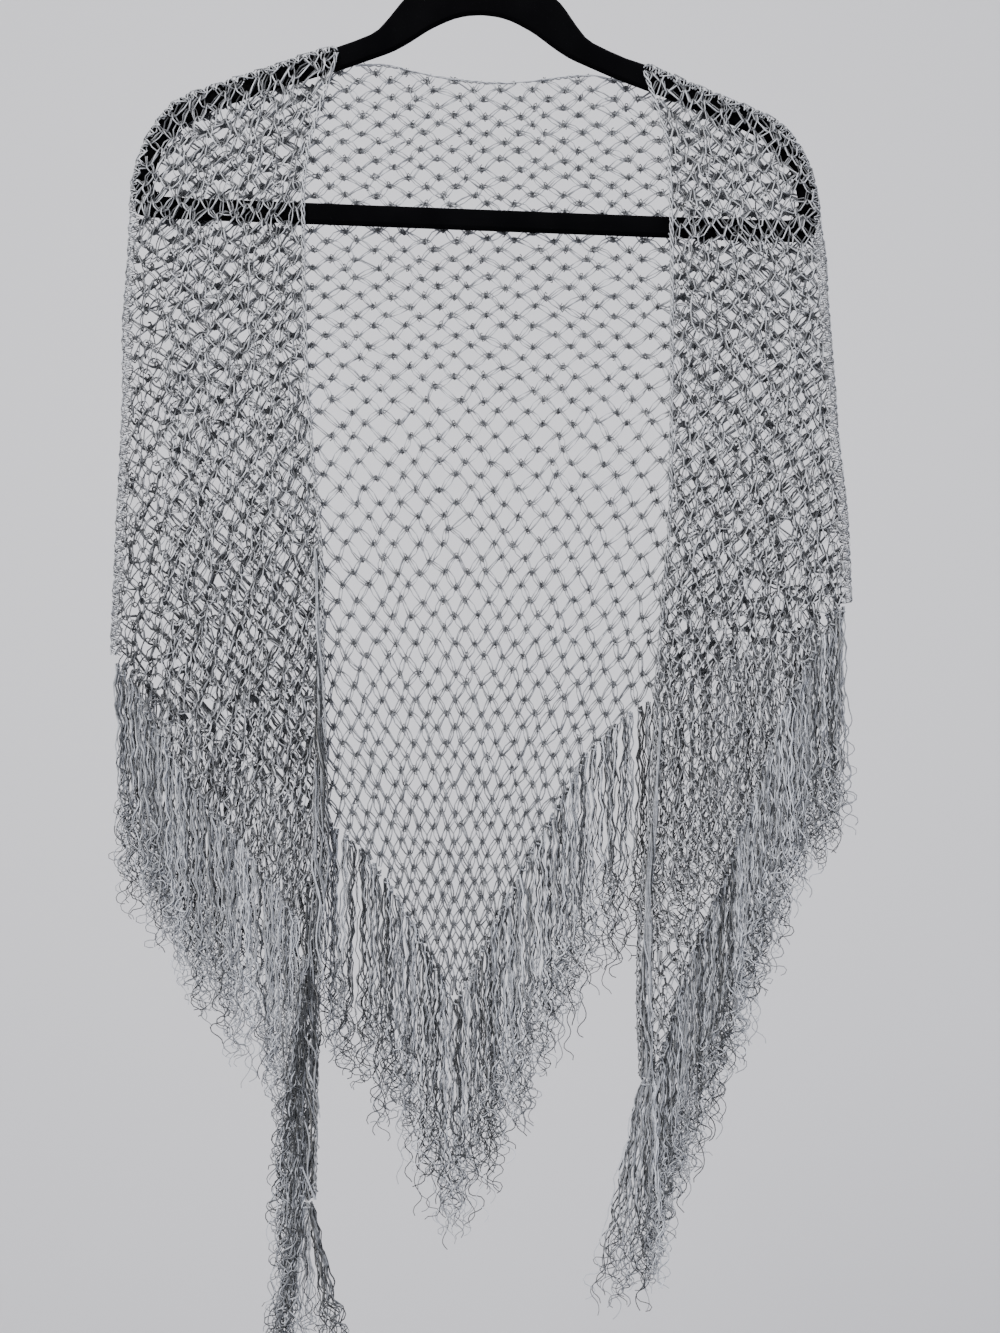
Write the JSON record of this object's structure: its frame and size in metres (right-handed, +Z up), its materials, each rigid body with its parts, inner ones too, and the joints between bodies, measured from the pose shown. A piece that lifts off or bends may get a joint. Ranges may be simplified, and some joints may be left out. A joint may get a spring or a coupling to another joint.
{
  "type": "triangular knitted shawl wrap with fringe, on a clothes hanger",
  "caption": "Open-knit triangular shawl with long crinkled fringe, hanging from a slim flocked clothes hanger with a trouser bar and a wire hook.",
  "frame": {"origin": "the hanger's bearing point, at the inner top of its wire hook", "axes": "+Z up, +X to the right seen from the front, +Y from the front to the back of the shawl"},
  "size_m": [0.4886, 0.0278, 0.9654],
  "materials": {
    "shawl_yarn": "soft, slightly lustrous loosely spun grey yarn in an open net",
    "fringe_yarn": "crinkled grey fringe yarn with a soft lustre",
    "hanger_flock": "matt black nylon flock",
    "hook_metal": "bright plated steel wire"
  },
  "bodies": {
    "root": {"hanger_body": "hanger_flock", "hanger_hook": "hook_metal", "shawl_back": "shawl_yarn", "shawl_turn_left": "shawl_yarn", "shawl_turn_right": "shawl_yarn", "shawl_front_left": "shawl_yarn", "shawl_front_right": "shawl_yarn", "fringe_back_left": "fringe_yarn", "fringe_back_right": "fringe_yarn", "fringe_front_left": "fringe_yarn", "fringe_front_right": "fringe_yarn"}
  },
  "joints": []
}
